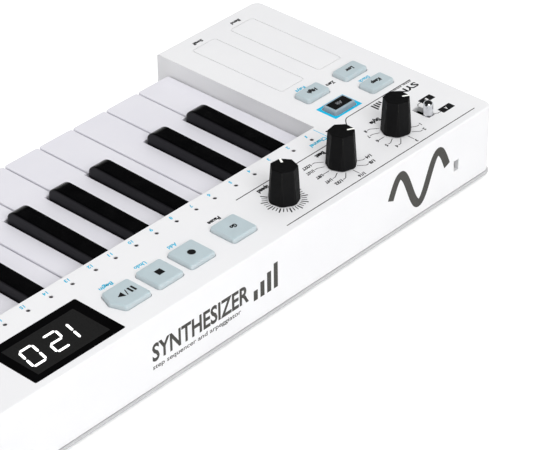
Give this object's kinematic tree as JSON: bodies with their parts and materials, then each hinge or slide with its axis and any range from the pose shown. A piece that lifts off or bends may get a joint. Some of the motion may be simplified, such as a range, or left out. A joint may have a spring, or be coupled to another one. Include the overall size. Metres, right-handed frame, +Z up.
{
  "type": "synthesizer",
  "caption": "Slim white desktop synthesizer keyboard with hinged slim keys, step-sequencer buttons, turning knobs, slide lever and display.",
  "frame": {"origin": "centre of the footprint on the table, under the rubber feet", "axes": "+X to the player's right along the keyboard, +Y away from the player to the back, +Z up"},
  "size_m": [0.5562, 0.1496, 0.0554],
  "materials": {
    "case_white": "fine matt white moulding",
    "plate_steel": "pale grey powder coat",
    "key_white": "satin gloss",
    "key_black": "gloss top, satin sides",
    "knob_black": "soft-touch matt",
    "button_rubber": "translucent silicone",
    "lever_chrome": "polished",
    "window_black": "smoked window",
    "frame_grey": "moulded",
    "board_green": "solder mask",
    "jack_black": "moulded",
    "foot_rubber": "matt"
  },
  "bodies": {
    "case": {"top_case": "case_white", "bottom_plate": "plate_steel", "key_frame": "frame_grey", "circuit_board": "board_green", "rear_jacks": "jack_black", "display_window": "window_black", "feet_and_screws": "foot_rubber"},
    "sequence_lever": {"sequence_lever": "lever_chrome"},
    "mode_knob": {"mode_knob": "knob_black"},
    "division_knob": {"division_knob": "knob_black"},
    "rate_knob": {"rate_knob": "knob_black"},
    "parameter_knob_1": {"parameter_knob_1": "knob_black"},
    "parameter_knob_2": {"parameter_knob_2": "knob_black"},
    "parameter_knob_3": {"parameter_knob_3": "knob_black"},
    "parameter_knob_4": {"parameter_knob_4": "knob_black"},
    "hold_button": {"hold_button": "button_rubber"},
    "shift_button": {"shift_button": "button_rubber"},
    "octave_down_button": {"octave_down_button": "button_rubber"},
    "octave_up_button": {"octave_up_button": "button_rubber"},
    "tap_button": {"tap_button": "button_rubber"},
    "record_button": {"record_button": "button_rubber"},
    "stop_button": {"stop_button": "button_rubber"},
    "play_button": {"play_button": "button_rubber"},
    "key_c1": {"key_c1": "key_white"},
    "key_cs1": {"key_cs1": "key_black"},
    "key_d1": {"key_d1": "key_white"},
    "key_ds1": {"key_ds1": "key_black"},
    "key_e1": {"key_e1": "key_white"},
    "key_f1": {"key_f1": "key_white"},
    "key_fs1": {"key_fs1": "key_black"},
    "key_g1": {"key_g1": "key_white"},
    "key_gs1": {"key_gs1": "key_black"},
    "key_a1": {"key_a1": "key_white"},
    "key_as1": {"key_as1": "key_black"},
    "key_b1": {"key_b1": "key_white"},
    "key_c2": {"key_c2": "key_white"},
    "key_cs2": {"key_cs2": "key_black"},
    "key_d2": {"key_d2": "key_white"},
    "key_ds2": {"key_ds2": "key_black"},
    "key_e2": {"key_e2": "key_white"},
    "key_f2": {"key_f2": "key_white"},
    "key_fs2": {"key_fs2": "key_black"},
    "key_g2": {"key_g2": "key_white"},
    "key_gs2": {"key_gs2": "key_black"},
    "key_a2": {"key_a2": "key_white"},
    "key_as2": {"key_as2": "key_black"},
    "key_b2": {"key_b2": "key_white"},
    "key_c3": {"key_c3": "key_white"},
    "key_cs3": {"key_cs3": "key_black"},
    "key_d3": {"key_d3": "key_white"},
    "key_ds3": {"key_ds3": "key_black"},
    "key_e3": {"key_e3": "key_white"},
    "key_f3": {"key_f3": "key_white"},
    "key_fs3": {"key_fs3": "key_black"},
    "key_g3": {"key_g3": "key_white"},
    "key_gs3": {"key_gs3": "key_black"},
    "key_a3": {"key_a3": "key_white"},
    "key_as3": {"key_as3": "key_black"},
    "key_b3": {"key_b3": "key_white"},
    "key_c4": {"key_c4": "key_white"}
  },
  "joints": [
    {"name": "mode_turn", "type": "hinge", "parent": "case", "child": "mode_knob", "pos_m": [-0.2301, 0.0552, 0.045], "axis": [0, 0, 1], "range_deg": [-210, 0]},
    {"name": "division_turn", "type": "hinge", "parent": "case", "child": "division_knob", "pos_m": [-0.1922, 0.0552, 0.045], "axis": [0, 0, 1], "range_deg": [-210, 0]},
    {"name": "rate_turn", "type": "hinge", "parent": "case", "child": "rate_knob", "pos_m": [-0.1543, 0.0552, 0.045], "axis": [0, 0, 1], "range_deg": [-300, 0]},
    {"name": "parameter_1_turn", "type": "hinge", "parent": "case", "child": "parameter_knob_1", "pos_m": [0.0548, 0.0552, 0.045], "axis": [0, 0, 1], "range_deg": [-150, 150]},
    {"name": "parameter_2_turn", "type": "hinge", "parent": "case", "child": "parameter_knob_2", "pos_m": [0.1048, 0.0552, 0.045], "axis": [0, 0, 1], "range_deg": [-150, 150]},
    {"name": "parameter_3_turn", "type": "hinge", "parent": "case", "child": "parameter_knob_3", "pos_m": [0.1548, 0.0552, 0.045], "axis": [0, 0, 1], "range_deg": [-150, 150]},
    {"name": "parameter_4_turn", "type": "hinge", "parent": "case", "child": "parameter_knob_4", "pos_m": [0.2048, 0.0552, 0.045], "axis": [0, 0, 1], "range_deg": [-150, 150]},
    {"name": "sequence_slide", "type": "slide", "parent": "case", "child": "sequence_lever", "axis": [0, -1, 0], "range_m": [0, 0.0053]},
    {"name": "hold_press", "type": "slide", "parent": "case", "child": "hold_button", "axis": [0, 0, -1], "range_m": [0, 0.0009], "stiffness_N_per_m": 250, "springref_m": -0.002},
    {"name": "shift_press", "type": "slide", "parent": "case", "child": "shift_button", "axis": [0, 0, -1], "range_m": [0, 0.0009], "stiffness_N_per_m": 250, "springref_m": -0.002},
    {"name": "octave_down_press", "type": "slide", "parent": "case", "child": "octave_down_button", "axis": [0, 0, -1], "range_m": [0, 0.0009], "stiffness_N_per_m": 250, "springref_m": -0.002},
    {"name": "octave_up_press", "type": "slide", "parent": "case", "child": "octave_up_button", "axis": [0, 0, -1], "range_m": [0, 0.0009], "stiffness_N_per_m": 250, "springref_m": -0.002},
    {"name": "tap_press", "type": "slide", "parent": "case", "child": "tap_button", "axis": [0, 0, -1], "range_m": [0, 0.0009], "stiffness_N_per_m": 250, "springref_m": -0.002},
    {"name": "record_press", "type": "slide", "parent": "case", "child": "record_button", "axis": [0, 0, -1], "range_m": [0, 0.0009], "stiffness_N_per_m": 250, "springref_m": -0.002},
    {"name": "stop_press", "type": "slide", "parent": "case", "child": "stop_button", "axis": [0, 0, -1], "range_m": [0, 0.0009], "stiffness_N_per_m": 250, "springref_m": -0.002},
    {"name": "play_press", "type": "slide", "parent": "case", "child": "play_button", "axis": [0, 0, -1], "range_m": [0, 0.0009], "stiffness_N_per_m": 250, "springref_m": -0.002},
    {"name": "c1_press", "type": "hinge", "parent": "case", "child": "key_c1", "pos_m": [0, 0.042, 0.0185], "axis": [1, 0, 0], "range_deg": [0, 3.6], "stiffness_Nm_per_rad": 0.6, "springref_deg": -6.88},
    {"name": "cs1_press", "type": "hinge", "parent": "case", "child": "key_cs1", "pos_m": [0, 0.042, 0.0185], "axis": [1, 0, 0], "range_deg": [0, 3.6], "stiffness_Nm_per_rad": 0.6, "springref_deg": -6.88},
    {"name": "d1_press", "type": "hinge", "parent": "case", "child": "key_d1", "pos_m": [0, 0.042, 0.0185], "axis": [1, 0, 0], "range_deg": [0, 3.6], "stiffness_Nm_per_rad": 0.6, "springref_deg": -6.88},
    {"name": "ds1_press", "type": "hinge", "parent": "case", "child": "key_ds1", "pos_m": [0, 0.042, 0.0185], "axis": [1, 0, 0], "range_deg": [0, 3.6], "stiffness_Nm_per_rad": 0.6, "springref_deg": -6.88},
    {"name": "e1_press", "type": "hinge", "parent": "case", "child": "key_e1", "pos_m": [0, 0.042, 0.0185], "axis": [1, 0, 0], "range_deg": [0, 3.6], "stiffness_Nm_per_rad": 0.6, "springref_deg": -6.88},
    {"name": "f1_press", "type": "hinge", "parent": "case", "child": "key_f1", "pos_m": [0, 0.042, 0.0185], "axis": [1, 0, 0], "range_deg": [0, 3.6], "stiffness_Nm_per_rad": 0.6, "springref_deg": -6.88},
    {"name": "fs1_press", "type": "hinge", "parent": "case", "child": "key_fs1", "pos_m": [0, 0.042, 0.0185], "axis": [1, 0, 0], "range_deg": [0, 3.6], "stiffness_Nm_per_rad": 0.6, "springref_deg": -6.88},
    {"name": "g1_press", "type": "hinge", "parent": "case", "child": "key_g1", "pos_m": [0, 0.042, 0.0185], "axis": [1, 0, 0], "range_deg": [0, 3.6], "stiffness_Nm_per_rad": 0.6, "springref_deg": -6.88},
    {"name": "gs1_press", "type": "hinge", "parent": "case", "child": "key_gs1", "pos_m": [0, 0.042, 0.0185], "axis": [1, 0, 0], "range_deg": [0, 3.6], "stiffness_Nm_per_rad": 0.6, "springref_deg": -6.88},
    {"name": "a1_press", "type": "hinge", "parent": "case", "child": "key_a1", "pos_m": [0, 0.042, 0.0185], "axis": [1, 0, 0], "range_deg": [0, 3.6], "stiffness_Nm_per_rad": 0.6, "springref_deg": -6.88},
    {"name": "as1_press", "type": "hinge", "parent": "case", "child": "key_as1", "pos_m": [0, 0.042, 0.0185], "axis": [1, 0, 0], "range_deg": [0, 3.6], "stiffness_Nm_per_rad": 0.6, "springref_deg": -6.88},
    {"name": "b1_press", "type": "hinge", "parent": "case", "child": "key_b1", "pos_m": [0, 0.042, 0.0185], "axis": [1, 0, 0], "range_deg": [0, 3.6], "stiffness_Nm_per_rad": 0.6, "springref_deg": -6.88},
    {"name": "c2_press", "type": "hinge", "parent": "case", "child": "key_c2", "pos_m": [0, 0.042, 0.0185], "axis": [1, 0, 0], "range_deg": [0, 3.6], "stiffness_Nm_per_rad": 0.6, "springref_deg": -6.88},
    {"name": "cs2_press", "type": "hinge", "parent": "case", "child": "key_cs2", "pos_m": [0, 0.042, 0.0185], "axis": [1, 0, 0], "range_deg": [0, 3.6], "stiffness_Nm_per_rad": 0.6, "springref_deg": -6.88},
    {"name": "d2_press", "type": "hinge", "parent": "case", "child": "key_d2", "pos_m": [0, 0.042, 0.0185], "axis": [1, 0, 0], "range_deg": [0, 3.6], "stiffness_Nm_per_rad": 0.6, "springref_deg": -6.88},
    {"name": "ds2_press", "type": "hinge", "parent": "case", "child": "key_ds2", "pos_m": [0, 0.042, 0.0185], "axis": [1, 0, 0], "range_deg": [0, 3.6], "stiffness_Nm_per_rad": 0.6, "springref_deg": -6.88},
    {"name": "e2_press", "type": "hinge", "parent": "case", "child": "key_e2", "pos_m": [0, 0.042, 0.0185], "axis": [1, 0, 0], "range_deg": [0, 3.6], "stiffness_Nm_per_rad": 0.6, "springref_deg": -6.88},
    {"name": "f2_press", "type": "hinge", "parent": "case", "child": "key_f2", "pos_m": [0, 0.042, 0.0185], "axis": [1, 0, 0], "range_deg": [0, 3.6], "stiffness_Nm_per_rad": 0.6, "springref_deg": -6.88},
    {"name": "fs2_press", "type": "hinge", "parent": "case", "child": "key_fs2", "pos_m": [0, 0.042, 0.0185], "axis": [1, 0, 0], "range_deg": [0, 3.6], "stiffness_Nm_per_rad": 0.6, "springref_deg": -6.88},
    {"name": "g2_press", "type": "hinge", "parent": "case", "child": "key_g2", "pos_m": [0, 0.042, 0.0185], "axis": [1, 0, 0], "range_deg": [0, 3.6], "stiffness_Nm_per_rad": 0.6, "springref_deg": -6.88},
    {"name": "gs2_press", "type": "hinge", "parent": "case", "child": "key_gs2", "pos_m": [0, 0.042, 0.0185], "axis": [1, 0, 0], "range_deg": [0, 3.6], "stiffness_Nm_per_rad": 0.6, "springref_deg": -6.88},
    {"name": "a2_press", "type": "hinge", "parent": "case", "child": "key_a2", "pos_m": [0, 0.042, 0.0185], "axis": [1, 0, 0], "range_deg": [0, 3.6], "stiffness_Nm_per_rad": 0.6, "springref_deg": -6.88},
    {"name": "as2_press", "type": "hinge", "parent": "case", "child": "key_as2", "pos_m": [0, 0.042, 0.0185], "axis": [1, 0, 0], "range_deg": [0, 3.6], "stiffness_Nm_per_rad": 0.6, "springref_deg": -6.88},
    {"name": "b2_press", "type": "hinge", "parent": "case", "child": "key_b2", "pos_m": [0, 0.042, 0.0185], "axis": [1, 0, 0], "range_deg": [0, 3.6], "stiffness_Nm_per_rad": 0.6, "springref_deg": -6.88},
    {"name": "c3_press", "type": "hinge", "parent": "case", "child": "key_c3", "pos_m": [0, 0.042, 0.0185], "axis": [1, 0, 0], "range_deg": [0, 3.6], "stiffness_Nm_per_rad": 0.6, "springref_deg": -6.88},
    {"name": "cs3_press", "type": "hinge", "parent": "case", "child": "key_cs3", "pos_m": [0, 0.042, 0.0185], "axis": [1, 0, 0], "range_deg": [0, 3.6], "stiffness_Nm_per_rad": 0.6, "springref_deg": -6.88},
    {"name": "d3_press", "type": "hinge", "parent": "case", "child": "key_d3", "pos_m": [0, 0.042, 0.0185], "axis": [1, 0, 0], "range_deg": [0, 3.6], "stiffness_Nm_per_rad": 0.6, "springref_deg": -6.88},
    {"name": "ds3_press", "type": "hinge", "parent": "case", "child": "key_ds3", "pos_m": [0, 0.042, 0.0185], "axis": [1, 0, 0], "range_deg": [0, 3.6], "stiffness_Nm_per_rad": 0.6, "springref_deg": -6.88},
    {"name": "e3_press", "type": "hinge", "parent": "case", "child": "key_e3", "pos_m": [0, 0.042, 0.0185], "axis": [1, 0, 0], "range_deg": [0, 3.6], "stiffness_Nm_per_rad": 0.6, "springref_deg": -6.88},
    {"name": "f3_press", "type": "hinge", "parent": "case", "child": "key_f3", "pos_m": [0, 0.042, 0.0185], "axis": [1, 0, 0], "range_deg": [0, 3.6], "stiffness_Nm_per_rad": 0.6, "springref_deg": -6.88},
    {"name": "fs3_press", "type": "hinge", "parent": "case", "child": "key_fs3", "pos_m": [0, 0.042, 0.0185], "axis": [1, 0, 0], "range_deg": [0, 3.6], "stiffness_Nm_per_rad": 0.6, "springref_deg": -6.88},
    {"name": "g3_press", "type": "hinge", "parent": "case", "child": "key_g3", "pos_m": [0, 0.042, 0.0185], "axis": [1, 0, 0], "range_deg": [0, 3.6], "stiffness_Nm_per_rad": 0.6, "springref_deg": -6.88},
    {"name": "gs3_press", "type": "hinge", "parent": "case", "child": "key_gs3", "pos_m": [0, 0.042, 0.0185], "axis": [1, 0, 0], "range_deg": [0, 3.6], "stiffness_Nm_per_rad": 0.6, "springref_deg": -6.88},
    {"name": "a3_press", "type": "hinge", "parent": "case", "child": "key_a3", "pos_m": [0, 0.042, 0.0185], "axis": [1, 0, 0], "range_deg": [0, 3.6], "stiffness_Nm_per_rad": 0.6, "springref_deg": -6.88},
    {"name": "as3_press", "type": "hinge", "parent": "case", "child": "key_as3", "pos_m": [0, 0.042, 0.0185], "axis": [1, 0, 0], "range_deg": [0, 3.6], "stiffness_Nm_per_rad": 0.6, "springref_deg": -6.88},
    {"name": "b3_press", "type": "hinge", "parent": "case", "child": "key_b3", "pos_m": [0, 0.042, 0.0185], "axis": [1, 0, 0], "range_deg": [0, 3.6], "stiffness_Nm_per_rad": 0.6, "springref_deg": -6.88},
    {"name": "c4_press", "type": "hinge", "parent": "case", "child": "key_c4", "pos_m": [0, 0.042, 0.0185], "axis": [1, 0, 0], "range_deg": [0, 3.6], "stiffness_Nm_per_rad": 0.6, "springref_deg": -6.88}
  ]
}
